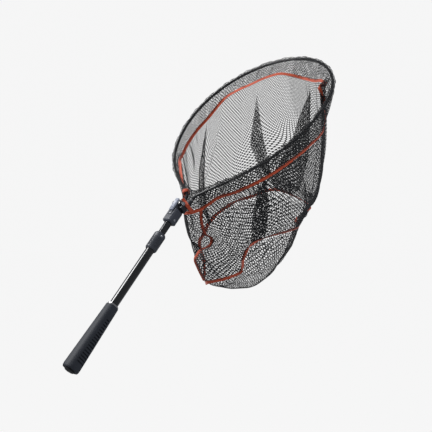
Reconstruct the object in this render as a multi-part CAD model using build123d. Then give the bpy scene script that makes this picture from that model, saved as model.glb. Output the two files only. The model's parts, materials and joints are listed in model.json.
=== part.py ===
from build123d import *
from math import cos, hypot, radians, sin, tan
import os

# Folding, telescopic landing net, in millimetres, +Z up and gravity along -Z.
# The rigid pieces are drawn in the handle's own frame: X along the handle from the butt towards
# the head, Y to the left, Z square to the handle. That frame is then pitched up about Y.

# ---- attitude ----
PITCH = 45.6              # handle above the horizontal
HEAD_DROP = 3.5           # hoop below the line of the handle

# ---- stations along the handle, measured from the butt face ----
GRIP_TOP = 200.0
RING_LENGTH = 4.0
BARE_TUBE = 185.0         # outer tube between the grip's ring and the collar
COLLAR_LENGTH = 55.0
NECK_LENGTH = 40.0        # inner tube between collar and yoke when the handle is closed
YOKE_LENGTH = 42.0        # wide part that holds the inner tube
SOCKET_DEPTH = 22.0       # how far the inner tube goes into the yoke
PIN_REACH = 22.0          # from the end of the yoke's wide part to the hinge pin
BRIDGE_REACH = 14.0       # from the hinge pin to the bridge of the head block
BRIDGE_LENGTH = 11.5
THROAT_REACH = 53.0       # from the hinge pin to the throat, where the arms begin to splay

# ---- tubes ----
INNER_DIA = 20.0
INNER_WALL = 1.3
TUBE_GAP = 0.6            # radial space between inner and outer tube
OUTER_WALL = 1.4
TRAVEL = 300.0            # telescoping stroke
OVERLAP = 84.0            # inner tube left inside the outer one when it is fully out
FOOT_HEAD = 8.0
FOOT_PLUG = 18.0
SLIDE_FIT = 0.15          # radial clearance of the foot and the locking bush

# ---- grip ----
GRIP_TOP_SIZE = 33.0
GRIP_BUTT_SIZE = 42.0
GRIP_BELLY = 2.0          # extra height over width at the butt
SLOT_COUNT = 17
SLOT_PITCH = 8.1
SLOT_WIDTH = 3.6
SLOT_DEPTH = 3.0
SLOT_FIRST = 158.0
SLOT_SHORT = 10.0         # height of the slot nearest the top
SLOT_LONG = 26.0          # and of the one nearest the butt
CAP_RADIUS = 14.0
CAP_THICK = 4.0
CAP_CHAMFER = 1.2
GRIP_CORNER = 0.42        # corner radius as a share of the width
GRIP_END_STEP = 4.0       # how much narrower the grip's end is than its widest part
RING_STEP = 0.6           # of the grip ring, inside the top of the grip

# ---- collar and its release button ----
COLLAR_WALL = 4.5
COLLAR_SHOULDER = 11.0    # plain length at each end of the ribs
RIB_COUNT = 14
RIB_DEPTH = 0.7
COLLAR_TAPER = 4.0        # length of the cone at each end
COLLAR_STEP = 2.4         # drop of that cone
BUSH_SLIT = 1.6
BUSH_LENGTH = 13.0
BUSH_WALL = 1.35
COLLAR_LIP = 4.0          # of the collar, past the bush
BUTTON_DIA = 6.6
BUTTON_STROKE = 1.2
BUTTON_RAISE = 1.6
BUTTON_ANGLE = 20.0       # above the right-hand side
BUTTON_FROM_TOP = 10.0
FLANGE_STEP = 1.0         # how much wider the button's flange is than the button
FLANGE_THICK = 0.8
BUTTON_WALL = 1.0
BUTTON_ROOF = 1.4

# ---- yoke, hinge and head block ----
YOKE_WALL = 5.5           # beside the inner tube
YOKE_COVER = 5.0          # above and below the inner tube
RIVET_DIA = 4.0
RIVET_INSET = 11.0
RIVET_HEAD = 3.4          # radius of the rivet's heads
RIVET_HEAD_THICK = 1.2
YOKE_CHAMFER = 4.0        # along the yoke's long edges
YOKE_END_CHAMFER = 3.0    # round its lower end
PIN_HEIGHT = 8.0
PIN_DIA = 6.0
PIN_FIT = 0.06
PIN_HEAD = 5.0            # radius
PIN_HEAD_THICK = 1.8
BOSS_RADIUS = 9.0
TONGUE_WIDTH = 12.4
CHEEK_WIDTH = 13.0
FORK_THICK = 6.0          # bright part of each cheek
CHEEK_STEP = 3.0          # how much lower the black part of the cheek stands
SOCKET_BACK = 15.0        # how far sockets and cheeks reach behind the hinge pin
BRIDGE_HEIGHTS = (-18.5, -9.0)
SOCKET_FLOOR = 6.2
SOCKET_DIA = 13.0
STOP_GAP = 0.4
SLIDE_STROKE = 8.0
SLIDE_LENGTH = 41.0
SLIDE_OVERHANG = 31.0     # of the slide past the wide part of the yoke
SLIDE_THICK = 4.4
KEY_WIDTH = 4.4
KEY_LENGTH = 8.0
KEY_DEPTH = 4.6
SPRING_SOLID = 3.5        # length of the slide's spring when pressed flat
PAD_LENGTH = 12.0
PAD_WIDTH = 8.0
GAP = 0.3                 # clearance between pieces that move past each other

# ---- hoop ----
HOOP_DIA = 8.0
HOOP_WIDTH = 500.0
ARM_SPACING = 26.0        # between the two arms at the throat
ARM_RADIUS = 350.0        # long sweep of each arm
ARM_ANGLE = 52.0          # how far the arms splay
ARM_BEND = 30.0
ARM_CORNER = -6.0         # where arm and splay would meet, from the throat
HOOP_OFFSET = 14.5        # hoop plane below the handle axis at the throat
FERRULE_WALL = 1.1
BINDING_START = 0.2       # from the end of the bend
BINDING_LENGTH = 10.0
BINDING_WALL = 1.4

# ---- net ----
SLEEVE_DIA = 19.0
NET_THICK = 2.4
MOUTH_START = 26.0        # hub end of the bag's mouth, from the throat
BAND_INSET = 6.0
BAND_TOP = 13.0
BAND_DROP = 45.0
TAPE_WIDTH = 10.0
TAPE_THICK = 4.0
FLOOR_PITCH = 33.0
FLOOR_SCALE = 0.73
FLOOR_AT = (40.0, -226.0)
SAG_PITCH = 8.0
SAG_SCALE = 0.46
SAG_AT = (66.0, -292.0)
SEAM_WIDTH = 12.0
SEAM_THICK = 1.2
STRAP_LEAN = 34.0         # how far the throat strap steps to the right on its way down

# ---- worked out from the above ----
outer_bore = INNER_DIA / 2 + TUBE_GAP
outer_radius = outer_bore + OUTER_WALL
collar_radius = outer_radius + COLLAR_WALL
collar_start = GRIP_TOP + RING_LENGTH + BARE_TUBE
collar_end = collar_start + COLLAR_LENGTH
bush_bore = INNER_DIA / 2 + SLIDE_FIT
bush_outer = bush_bore + BUSH_WALL
bush_start = collar_end - BUSH_LENGTH - COLLAR_LIP
outer_end = bush_start - 1.0
foot_start = bush_start - TRAVEL - OVERLAP - FOOT_HEAD
yoke_start = collar_end + NECK_LENGTH
yoke_end = yoke_start + YOKE_LENGTH
yoke_half = INNER_DIA / 2 + YOKE_WALL
yoke_cover = INNER_DIA / 2 + YOKE_COVER
inner_end = yoke_start + SOCKET_DEPTH
rivet_x = yoke_start + RIVET_INSET
pin_x = yoke_end + PIN_REACH
bridge_start = pin_x + BRIDGE_REACH
block_end = bridge_start + BRIDGE_LENGTH + 1.5
throat = pin_x + THROAT_REACH
# The cheeks end just above the middle of the sockets, which rise towards their rear ends.
web_low = 1 - HOOP_OFFSET + (THROAT_REACH + SOCKET_BACK) * sin(radians(HEAD_DROP))
tongue_half = TONGUE_WIDTH / 2
tongue_top = PIN_HEIGHT + BOSS_RADIUS
tongue_low = -yoke_cover - 3.0
cheek_inner = tongue_half + GAP
cheek_outer = cheek_inner + CHEEK_WIDTH
slide_end = yoke_end + SLIDE_OVERHANG
slide_start = slide_end - SLIDE_LENGTH
slide_low = tongue_top + GAP
slide_top = slide_low + SLIDE_THICK
key_front = yoke_end - 1.0
key_rear = key_front - KEY_LENGTH
slot_start = key_rear - SLIDE_STROKE - SPRING_SOLID
arm_y = ARM_SPACING / 2
arm_setback = ARM_BEND * tan(radians(ARM_ANGLE / 2))
hoop_radius = HOOP_WIDTH / 2
sweep_drop = ARM_RADIUS * (1 - cos(radians(ARM_ANGLE)))
sweep_run = ARM_RADIUS * sin(radians(ARM_ANGLE))
splay_rise = hoop_radius - arm_y - sweep_drop
hoop_centre = ARM_CORNER + splay_rise / tan(radians(ARM_ANGLE)) + sweep_run

HANDLE = Rot(0, -PITCH, 0)
HEAD = HANDLE * Pos(throat, 0, -HOOP_OFFSET) * Rot(0, HEAD_DROP, 0)
throat_point = (HANDLE * Pos(throat, 0, 0)).position


def rod(radius, start, end, y=0.0, z=0.0):
    """Solid round bar along X."""
    return Pos((start + end) / 2, y, z) * Rot(0, 90, 0) * Cylinder(radius, end - start)


def tube(outer, inner, start, end, y=0.0, z=0.0):
    """Round tube along X."""
    return rod(outer, start, end, y, z) - rod(inner, start - 1, end + 1, y, z)


def cross_rod(radius, y_low, y_high, x, z):
    """Solid round bar along Y."""
    return Pos(x, (y_low + y_high) / 2, z) * Rot(90, 0, 0) * Cylinder(radius, y_high - y_low)


def block(x_low, x_high, y_low, y_high, z_low, z_high):
    """Box between two corners."""
    middle = ((x_low + x_high) / 2, (y_low + y_high) / 2, (z_low + z_high) / 2)
    return Pos(*middle) * Box(x_high - x_low, y_high - y_low, z_high - z_low)


# ---- handle ----
def make_butt_plug():
    """Flat rubber end cap with a spigot that the inner tube's foot rests on."""
    cap = rod(CAP_RADIUS, 0, CAP_THICK)
    cap = chamfer(cap.edges().sort_by(Axis.X)[0], CAP_CHAMFER)
    return cap + rod(outer_bore, CAP_THICK, foot_start - GAP)


def grip_section(station, width, height):
    """Rounded box outline of the grip at one station."""
    corner = GRIP_CORNER * width
    plane = Plane(origin=(station, 0, 0), x_dir=(0, 1, 0), z_dir=(1, 0, 0))
    return plane * RectangleRounded(width, height, corner)


def make_grip():
    """Tapered hand grip with a ladder of slots on each side."""
    butt = GRIP_BUTT_SIZE
    middle = (GRIP_BUTT_SIZE + GRIP_TOP_SIZE) / 2
    stations = [
        grip_section(CAP_THICK, butt - GRIP_END_STEP, butt - GRIP_END_STEP + GRIP_BELLY),
        grip_section(CAP_THICK + 3, butt - 1, butt - 1 + GRIP_BELLY),
        grip_section(CAP_THICK + 9, butt, butt + GRIP_BELLY),
        grip_section(GRIP_TOP / 2, middle + 0.5, middle + 1.5),
        grip_section(GRIP_TOP, GRIP_TOP_SIZE, GRIP_TOP_SIZE),
    ]
    grip = loft(stations, ruled=True)
    grip -= rod(outer_radius, CAP_THICK - 1, GRIP_TOP + 1)
    cutters = []
    for i in range(SLOT_COUNT):
        share = i / (SLOT_COUNT - 1)
        x = SLOT_FIRST - i * SLOT_PITCH
        tall = SLOT_SHORT + share * (SLOT_LONG - SLOT_SHORT)
        half = (GRIP_TOP_SIZE + (GRIP_BUTT_SIZE - GRIP_TOP_SIZE) * (GRIP_TOP - x) / GRIP_TOP) / 2
        slot = Plane.XZ * RectangleRounded(SLOT_WIDTH, tall, SLOT_WIDTH * 0.45)
        cutter = extrude(slot, SLOT_DEPTH, both=True)
        cutters += [Pos(x, side * half, 0) * cutter for side in (-1, 1)]
    return grip - cutters


def make_grip_ring():
    """Thin metal ring at the top of the grip."""
    return tube(GRIP_TOP_SIZE / 2 - RING_STEP, outer_radius, GRIP_TOP, GRIP_TOP + RING_LENGTH)


def make_outer_tube():
    return tube(outer_radius, outer_bore, CAP_THICK, outer_end)


def collar_profile():
    """Half section of the ribbed collar, from the axis side outwards."""
    outer = collar_radius
    rib_zone = COLLAR_LENGTH - 2 * COLLAR_SHOULDER
    rib_start = collar_start + 7.0
    pitch = rib_zone / RIB_COUNT
    points = [(collar_start, outer_radius), (collar_start, outer - COLLAR_STEP)]
    points += [(collar_start + COLLAR_TAPER, outer)]
    for i in range(RIB_COUNT):
        x = rib_start + i * pitch
        points += [(x, outer), (x + 0.3 * pitch, outer - RIB_DEPTH), (x + 0.7 * pitch, outer)]
    points += [(collar_end - COLLAR_TAPER, outer), (collar_end, outer - COLLAR_STEP)]
    points += [(collar_end, bush_bore + GAP)]
    seat_end = bush_start + BUSH_LENGTH
    points += [(seat_end, bush_bore + GAP), (seat_end, bush_outer), (outer_end, bush_outer)]
    points += [(outer_end, outer_radius)]
    return points


def button_axis(radius):
    """Location on the button's line, at a distance from the handle's axis, Z pointing outwards."""
    turn = Rot(90 - BUTTON_ANGLE, 0, 0)
    return Pos(collar_end - BUTTON_FROM_TOP, 0, 0) * turn * Pos(0, 0, radius)


def button_bar(radius, low, high):
    """Round bar on the button's line between two distances from the handle's axis."""
    return button_axis((low + high) / 2) * Cylinder(radius, high - low)


button_low = bush_outer + GAP + BUTTON_STROKE
button_flange = button_low + FLANGE_THICK
button_top = collar_radius + BUTTON_RAISE
button_radius = BUTTON_DIA / 2


def make_lock_collar():
    """Ribbed collar bonded on the outer tube, bored for the release button."""
    outline = Plane.XZ * Polyline(*collar_profile(), close=True)
    collar = revolve(make_face(outline), Axis.X)
    collar -= button_bar(button_radius + GAP, button_flange, button_top + 1)
    collar -= button_bar(button_radius + FLANGE_STEP + GAP, bush_outer - 1, button_flange + 0.2)
    return collar


def make_locking_bush():
    """Split bush that grips the inner tube."""
    bush = tube(bush_outer, bush_bore, bush_start, bush_start + BUSH_LENGTH)
    return bush - block(bush_start - 1, bush_start + BUSH_LENGTH + 1, 0, bush_outer + 1,
                        -BUSH_SLIT / 2, BUSH_SLIT / 2)


def make_release_button():
    """Metal push button with a retaining flange and a blind bore for its spring."""
    button = button_bar(button_radius, button_low, button_top)
    button = fillet(button.edges().sort_by(Axis.Y)[0], 0.9)
    button += button_bar(button_radius + FLANGE_STEP, button_low, button_flange)
    return button - button_bar(button_radius - BUTTON_WALL, button_low - 1, button_top - BUTTON_ROOF)


def make_button_spring():
    """Coil spring under the button, as a plain sleeve."""
    outer = button_radius - BUTTON_WALL - 0.2
    coil = button_bar(outer, bush_outer + 0.05, button_top - BUTTON_ROOF - 0.1)
    return coil - button_bar(outer - 0.7, bush_outer - 1, button_top)


# ---- inner tube, yoke and hinge ----
def make_inner_tube():
    body = tube(INNER_DIA / 2, INNER_DIA / 2 - INNER_WALL, foot_start + FOOT_HEAD, inner_end)
    return body - rivet_hole()


def rivet_hole():
    return cross_rod(RIVET_DIA / 2, -yoke_half - 1, yoke_half + 1, rivet_x, 0)


def make_inner_foot():
    """Guide foot plugged into the bottom of the inner tube."""
    shoulder = foot_start + FOOT_HEAD
    head = rod(outer_bore - SLIDE_FIT, foot_start, shoulder)
    return head + rod(INNER_DIA / 2 - INNER_WALL, shoulder, shoulder + FOOT_PLUG)


def make_yoke():
    """Moulded hub: socket for the inner tube, a tongue for the hinge and a slot for the lock."""
    body = block(yoke_start, yoke_end, -yoke_half, yoke_half, -yoke_cover, yoke_cover)
    body = chamfer(body.edges().filter_by(Axis.X), YOKE_CHAMFER)
    body = chamfer(body.faces().sort_by(Axis.X)[0].edges(), YOKE_END_CHAMFER)
    tongue = block(yoke_end - 6, pin_x, -tongue_half, tongue_half, tongue_low, tongue_top)
    tongue += block(pin_x, bridge_start - STOP_GAP, -tongue_half, tongue_half, tongue_low, PIN_HEIGHT)
    tongue += cross_rod(BOSS_RADIUS, -tongue_half, tongue_half, pin_x, PIN_HEIGHT)
    deck = block(slot_start - 1.5, yoke_end, -tongue_half, tongue_half, 0, tongue_top)
    yoke = body + tongue + deck
    yoke -= rod(INNER_DIA / 2, yoke_start - 1, inner_end)
    yoke -= rivet_hole()
    yoke -= cross_rod(PIN_DIA / 2, -cheek_outer, cheek_outer, pin_x, PIN_HEIGHT)
    return yoke - key_slot()


def key_slot():
    """Slot in the deck of the yoke that guides the lock slide's key."""
    half = KEY_WIDTH / 2 + GAP
    return block(slot_start, yoke_end + 1, -half, half, tongue_top - KEY_DEPTH - GAP, tongue_top + 1)


def make_yoke_rivet():
    """Cross rivet through yoke and inner tube, with a flat head at each end."""
    rivet = cross_rod(RIVET_DIA / 2, -yoke_half, yoke_half, rivet_x, 0)
    outer = yoke_half + RIVET_HEAD_THICK
    rivet += cross_rod(RIVET_HEAD, yoke_half, outer, rivet_x, 0)
    return rivet + cross_rod(RIVET_HEAD, -outer, -yoke_half, rivet_x, 0)


def make_hinge_pin():
    """Headed pin pressed in the tongue; the cheeks of the head turn on it."""
    outer = cheek_outer + GAP
    pin = cross_rod(PIN_DIA / 2, -outer, outer + 3.0, pin_x, PIN_HEIGHT)
    head = cross_rod(PIN_HEAD, -outer - PIN_HEAD_THICK, -outer, pin_x, PIN_HEIGHT)
    head = fillet(head.edges().sort_by(Axis.Y)[0], PIN_HEAD_THICK / 2)
    groove = cross_rod(PIN_DIA / 2 + 1, outer + 0.2, outer + 1.4, pin_x, PIN_HEIGHT)
    core = cross_rod(PIN_DIA / 2 - 0.6, outer, outer + 2.0, pin_x, PIN_HEIGHT)
    return pin - groove + core + head


def make_pin_clip():
    """Split retaining ring in the groove of the hinge pin."""
    outer = cheek_outer + GAP
    ring = cross_rod(PIN_DIA / 2 + 1.8, outer + 0.3, outer + 1.3, pin_x, PIN_HEIGHT)
    ring -= cross_rod(PIN_DIA / 2 - 0.6, outer, outer + 2, pin_x, PIN_HEIGHT)
    return ring - block(pin_x - 1.2, pin_x + 1.2, outer, outer + 2, tongue_low, PIN_HEIGHT)


def make_lock_slide():
    """Raised thumb slide on top of the hub, with steps at its rear and a key below."""
    plate = block(slide_start, slide_end, -tongue_half, tongue_half, slide_low, slide_top)
    plate = fillet(plate.edges().filter_by(Axis.Z), 2.5)
    plate = chamfer(plate.faces().sort_by(Axis.Z)[-1].edges(), 0.9)
    for i in range(3):
        x = slide_start + 3.0 + 3.0 * i
        plate -= block(x, x + 1.3, -tongue_half - 1, tongue_half + 1, slide_top - 1.2, slide_top + 1)
    plate -= pad_box(0, slide_top + 3)
    key_low = tongue_top - KEY_DEPTH
    return plate + block(key_rear, key_front, -KEY_WIDTH / 2, KEY_WIDTH / 2, key_low, slide_low)


def pad_box(clearance, high):
    """Room of the thumb pad's pocket in the slide, up to a height."""
    x = (slide_start + slide_end) / 2 + 4
    half_length, half_width = PAD_LENGTH / 2 - clearance, PAD_WIDTH / 2 - clearance
    return block(x - half_length, x + half_length, -half_width, half_width, slide_top - 1.4, high)


def make_thumb_pad():
    """Light insert that fills the slide's pocket and stands a little proud."""
    pad = pad_box(0.05, slide_top + 0.8)
    return chamfer(pad.faces().sort_by(Axis.Z)[-1].edges(), 0.5)


def make_slide_spring():
    """Return spring of the lock slide, as a plain sleeve lying in the slot."""
    return tube(1.9, 1.2, slot_start + 0.1, key_rear - 0.1, 0, tongue_top - KEY_DEPTH / 2)


# ---- head block and hoop ----
def in_head(piece):
    """Place a piece drawn in the hoop's frame, in the handle's frame."""
    return Pos(throat, 0, -HOOP_OFFSET) * Rot(0, HEAD_DROP, 0) * piece


def arm_sockets(radius, start, end):
    """Both round sockets or bars on the lines of the hoop's arms."""
    return rod(radius, start, end, arm_y) + rod(radius, start, end, -arm_y)


def cheek_pair(low, high, radius):
    """Two cheeks round the hinge pin, each with a web down to the line of the arms."""
    cheeks = Part()
    for y_low, y_high in ((low, high), (-high, -low)):
        cheeks += cross_rod(radius, y_low, y_high, pin_x, PIN_HEIGHT)
        cheeks += block(pin_x - SOCKET_BACK, pin_x + radius, y_low, y_high, web_low, PIN_HEIGHT)
    return cheeks - cross_rod(PIN_DIA / 2 + PIN_FIT, -high - 1, high + 1, pin_x, PIN_HEIGHT)


socket_start = pin_x - SOCKET_BACK - throat
socket_end = block_end - throat


def make_head_block():
    """Two arm sockets with an outer cheek each, and a bridge below the tongue."""
    head = in_head(arm_sockets(SOCKET_DIA / 2, socket_start, socket_end))
    head += cheek_pair(cheek_inner + FORK_THICK, cheek_outer, BOSS_RADIUS - CHEEK_STEP)
    head += block(bridge_start, bridge_start + BRIDGE_LENGTH, -arm_y, arm_y, *BRIDGE_HEIGHTS)
    head -= in_head(arm_sockets(HOOP_DIA / 2, socket_start + SOCKET_FLOOR, socket_end + 2))
    return head - grub_holes()


def make_hinge_fork():
    """Bright side plates on the pin, bonded between the sockets and the tongue."""
    fork = cheek_pair(cheek_inner, cheek_inner + FORK_THICK, BOSS_RADIUS)
    return fork - in_head(arm_sockets(SOCKET_DIA / 2, socket_start - 1, socket_end))


grub_x = socket_end - 14.0
GRUB_DIA = 3.2


def grub_holes():
    """Holes for the two screws that hold the arms, from below."""
    holes = []
    for side in (-1, 1):
        holes.append(Pos(grub_x, side * arm_y, -SOCKET_DIA / 2) * Cylinder(GRUB_DIA / 2, 8))
    return in_head(Part() + holes)


def make_arm_screws():
    """Grub screws under the sockets."""
    screws = []
    for side in (-1, 1):
        low, high = -SOCKET_DIA / 2 - 0.8, -HOOP_DIA / 2 - 0.05
        screws.append(Pos(grub_x, side * arm_y, (low + high) / 2) * Cylinder(GRUB_DIA / 2, high - low))
    return in_head(Part() + screws)


def hoop_half(side, late=0.0):
    """Path of one arm and half of the hoop; the splay can start late by a length."""
    rise = radians(ARM_ANGLE)
    sweep_start = (hoop_centre - sweep_run, side * (hoop_radius - sweep_drop))
    bend_in = (ARM_CORNER - arm_setback, side * arm_y)
    bend_out = (ARM_CORNER + arm_setback * cos(rise), side * (arm_y + arm_setback * sin(rise)))
    splay_start = (bend_out[0] + late * cos(rise), bend_out[1] + side * late * sin(rise))
    start = (socket_start + SOCKET_FLOOR, side * arm_y)
    return [
        Line(start, bend_in),
        arc_through(bend_in, bend_out, (bend_in[0], side * (arm_y + ARM_BEND)), ARM_BEND),
        Line(splay_start, sweep_start),
        arc_through(sweep_start, (hoop_centre, side * hoop_radius),
                    (hoop_centre, side * (hoop_radius - ARM_RADIUS)), ARM_RADIUS),
        arc_through((hoop_centre, side * hoop_radius), (hoop_centre + hoop_radius, 0),
                    (hoop_centre, 0), hoop_radius),
    ]


def arc_through(start, end, centre, radius):
    """Short arc between two points about a centre."""
    x = (start[0] + end[0]) / 2 - centre[0]
    y = (start[1] + end[1]) / 2 - centre[1]
    reach = radius / hypot(x, y)
    return ThreePointArc(start, (centre[0] + x * reach, centre[1] + y * reach), end)


def hoop_tube(radius, first, late=0.0):
    """Round bar along the hoop's path, leaving out the first edges of each arm."""
    halves = []
    for side in (1, -1):
        path = Wire(hoop_half(side, late)[first:])
        start = path @ 0
        plane = Plane(origin=start, z_dir=path % 0)
        halves.append(sweep(plane * Circle(radius), path=path))
    return halves[0] + halves[1]


def make_hoop():
    return hoop_tube(HOOP_DIA / 2, 0)


def make_hoop_sleeve():
    """Net edge folded round the hoop, as a hollow roll."""
    roll = hoop_tube(SLEEVE_DIA / 2, 2, BINDING_LENGTH + BINDING_START)
    return roll - hoop_tube(HOOP_DIA / 2 + GAP, 2)


def make_arm_ferrules():
    """Bright sleeves on the arms, between the sockets and the bends."""
    outer = HOOP_DIA / 2 + FERRULE_WALL
    start = socket_end + 0.1
    end = ARM_CORNER - arm_setback
    return arm_sockets(outer, start, end) - arm_sockets(HOOP_DIA / 2, start - 1, end + 1)


def make_end_binding():
    """Tape wound round the left hub end of the folded net edge."""
    rise = radians(ARM_ANGLE)
    x = ARM_CORNER + arm_setback * cos(rise)
    y = arm_y + arm_setback * sin(rise)
    band = rod(SLEEVE_DIA / 2 + BINDING_WALL, BINDING_START, BINDING_LENGTH)
    band -= rod(HOOP_DIA / 2 + GAP, 0, BINDING_LENGTH + 1)
    return Pos(x, y, 0) * Rot(0, 0, ARM_ANGLE) * band


# ---- net ----
def mouth_outline(inset):
    """Closed outline of the bag's mouth in the hoop's plane, inside the hoop by an inset."""
    rise = radians(ARM_ANGLE)
    radius = hoop_radius - inset
    sweep = ARM_RADIUS - inset
    centre_y = hoop_radius - ARM_RADIUS
    tangent = (hoop_centre - sweep * sin(rise), centre_y + sweep * cos(rise))
    close_x = MOUTH_START + inset
    close_y = tangent[1] - (tangent[0] - close_x) * tan(rise)
    tip = (hoop_centre + radius, 0)
    edges = []
    for side in (1, -1):
        edges += [
            Line((close_x, side * close_y), (tangent[0], side * tangent[1])),
            arc_through((tangent[0], side * tangent[1]), (hoop_centre, side * radius),
                        (hoop_centre, side * centre_y), sweep),
            arc_through((hoop_centre, side * radius), tip, (hoop_centre, 0), radius),
        ]
    edges.append(Line((close_x, close_y), (close_x, -close_y)))
    return make_face(Wire(edges))


def mouth(inset, drop):
    """The mouth's outline in the world, lowered straight down."""
    return Pos(0, 0, -drop) * HEAD * mouth_outline(inset)


def ring(inset, at, pitch, share, drop=0.0):
    """A smaller copy of the mouth's outline, pitched, with its hub end at a point below the throat."""
    outline = Pos(-MOUTH_START, 0, 0) * mouth_outline(BAND_INSET)
    outline = scale(outline, share)
    if inset:
        outline = offset(outline, -inset, kind=Kind.INTERSECTION)
    place = Pos(throat_point.X + at[0], 0, throat_point.Z + at[1] - drop) * Rot(0, -pitch, 0)
    return place * outline


def floor_ring(inset, drop=0.0):
    return ring(inset, FLOOR_AT, FLOOR_PITCH, FLOOR_SCALE, drop)


def curtain(inset, thick, top, bottom):
    """Thin wall that hangs straight down from the mouth's outline."""
    outer = extrude(mouth(inset, top), bottom - top, dir=(0, 0, -1))
    return outer - extrude(mouth(inset + thick, top - 1), bottom - top + 2, dir=(0, 0, -1))


def make_rim_band():
    return curtain(BAND_INSET, NET_THICK, BAND_TOP, BAND_DROP)


def make_upper_tape():
    return curtain(BAND_INSET - 1, TAPE_THICK, BAND_DROP, BAND_DROP + TAPE_WIDTH)


def make_net_wall():
    """Side of the bag, from the upper tape to the lower tape."""
    top = BAND_DROP + TAPE_WIDTH
    outer = loft([mouth(BAND_INSET, top), floor_ring(0)], ruled=True)
    inner = loft([mouth(BAND_INSET + NET_THICK, top), floor_ring(NET_THICK)], ruled=True)
    return outer - inner


def make_lower_tape():
    outer = extrude(floor_ring(0), TAPE_WIDTH, dir=(0, 0, -1))
    return outer - extrude(floor_ring(TAPE_THICK, -1), TAPE_WIDTH + 2, dir=(0, 0, -1))


def sag_ring(inset, lift=0.0):
    return ring(inset, SAG_AT, SAG_PITCH, SAG_SCALE, -lift)


def make_net_floor():
    """Sagging floor panel, a dish closed at the bottom."""
    outer = loft([floor_ring(0, TAPE_WIDTH), sag_ring(0)], ruled=True)
    inner = loft([floor_ring(NET_THICK, TAPE_WIDTH), sag_ring(NET_THICK, NET_THICK)], ruled=True)
    return outer - inner


def make_seam_tape():
    """Tape over the side seam, on the outside of the wall at the hub end."""
    top = mouth(BAND_INSET, BAND_DROP + TAPE_WIDTH).bounding_box().min
    bottom = floor_ring(0).bounding_box().min
    near, far = 2 * GAP, 2 * GAP + SEAM_THICK
    points = [(top.X - near, top.Z - 2), (bottom.X - near, bottom.Z)]
    points += [(bottom.X - far, bottom.Z), (top.X - far, top.Z - 2)]
    face = make_face(Plane.XZ * Polyline(*points, close=True))
    return extrude(face, SEAM_WIDTH / 2, both=True)


def make_throat_strap():
    """Tape that closes the net's edge across the throat, leaning to the right as it drops."""
    face_x = mouth(BAND_INSET, BAND_DROP).bounding_box().min.X
    top = HEAD * Pos(MOUTH_START + BAND_INSET, 0, 0)
    high = top.position.Z - BAND_TOP + 2
    low = top.position.Z - BAND_DROP + 1
    half_lean, half_width = STRAP_LEAN / 2, TAPE_WIDTH * 0.55
    corners = [(half_lean + half_width, high), (half_lean - half_width, high)]
    corners += [(-half_lean - half_width, low), (-half_lean + half_width, low)]
    face = make_face(Plane.YZ * Polyline(*corners, close=True))
    return Pos(face_x - GAP - SEAM_THICK, 0, 0) * extrude(face, SEAM_THICK, dir=(1, 0, 0))


handle_pieces = {
    "butt_plug": make_butt_plug,
    "grip": make_grip,
    "grip_ring": make_grip_ring,
    "outer_tube": make_outer_tube,
    "lock_collar": make_lock_collar,
    "locking_bush": make_locking_bush,
    "release_button": make_release_button,
    "button_spring": make_button_spring,
    "inner_tube": make_inner_tube,
    "inner_foot": make_inner_foot,
    "yoke": make_yoke,
    "yoke_rivet": make_yoke_rivet,
    "hinge_pin": make_hinge_pin,
    "pin_clip": make_pin_clip,
    "lock_slide": make_lock_slide,
    "thumb_pad": make_thumb_pad,
    "slide_spring": make_slide_spring,
    "head_block": make_head_block,
    "hinge_fork": make_hinge_fork,
    "arm_screws": make_arm_screws,
}
hoop_pieces = {
    "hoop": make_hoop,
    "hoop_sleeve": make_hoop_sleeve,
    "arm_ferrules": make_arm_ferrules,
    "end_binding": make_end_binding,
}
net_pieces = {
    "rim_band": make_rim_band,
    "upper_tape": make_upper_tape,
    "net_wall": make_net_wall,
    "lower_tape": make_lower_tape,
    "net_floor": make_net_floor,
    "seam_tape": make_seam_tape,
    "throat_strap": make_throat_strap,
}

os.makedirs("parts", exist_ok=True)
for name, make in handle_pieces.items():
    export_step(HANDLE * make(), f"parts/{name}.step")
for name, make in hoop_pieces.items():
    export_step(HEAD * make(), f"parts/{name}.step")
for name, make in net_pieces.items():
    export_step(make(), f"parts/{name}.step")
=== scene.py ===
import json
import math

import bpy
import numpy as np
from mathutils import Matrix, Vector


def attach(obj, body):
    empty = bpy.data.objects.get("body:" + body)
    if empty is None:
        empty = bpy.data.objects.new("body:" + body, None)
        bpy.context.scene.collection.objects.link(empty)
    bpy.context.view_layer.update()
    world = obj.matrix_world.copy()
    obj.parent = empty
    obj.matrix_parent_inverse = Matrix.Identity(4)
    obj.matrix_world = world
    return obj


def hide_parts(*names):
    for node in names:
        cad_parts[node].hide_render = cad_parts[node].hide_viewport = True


# A folding landing net. Metres, +Z up, the handle rising along +X, +Y to its left.
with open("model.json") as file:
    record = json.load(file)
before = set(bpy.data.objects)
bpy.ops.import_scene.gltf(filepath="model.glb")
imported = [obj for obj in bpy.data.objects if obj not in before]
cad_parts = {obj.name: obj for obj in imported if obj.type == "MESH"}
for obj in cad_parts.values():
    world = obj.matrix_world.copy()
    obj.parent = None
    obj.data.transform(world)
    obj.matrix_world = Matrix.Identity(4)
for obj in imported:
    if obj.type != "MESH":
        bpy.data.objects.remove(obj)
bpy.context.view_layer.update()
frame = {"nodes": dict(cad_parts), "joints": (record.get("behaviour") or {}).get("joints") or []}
nodes = frame["nodes"]
joints = {joint["name"]: joint for joint in frame["joints"]}

# ---- Hand grip and butt plug ----
# Injection-moulded rubber with a fine spark-eroded grain, pushed on the tube and closed by a plug.
# The grain scatters the light, so the grip stays charcoal with soft, broad highlights.
GRIP_GRAIN = 0.0011


def linear(text):
    """Red, green, blue and alpha of an sRGB hex value, as linear light."""
    parts = [int(text[i:i + 2], 16) / 255 for i in (1, 3, 5)]
    return [c / 12.92 if c <= 0.04045 else ((c + 0.055) / 1.055) ** 2.4 for c in parts] + [1.0]


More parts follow.
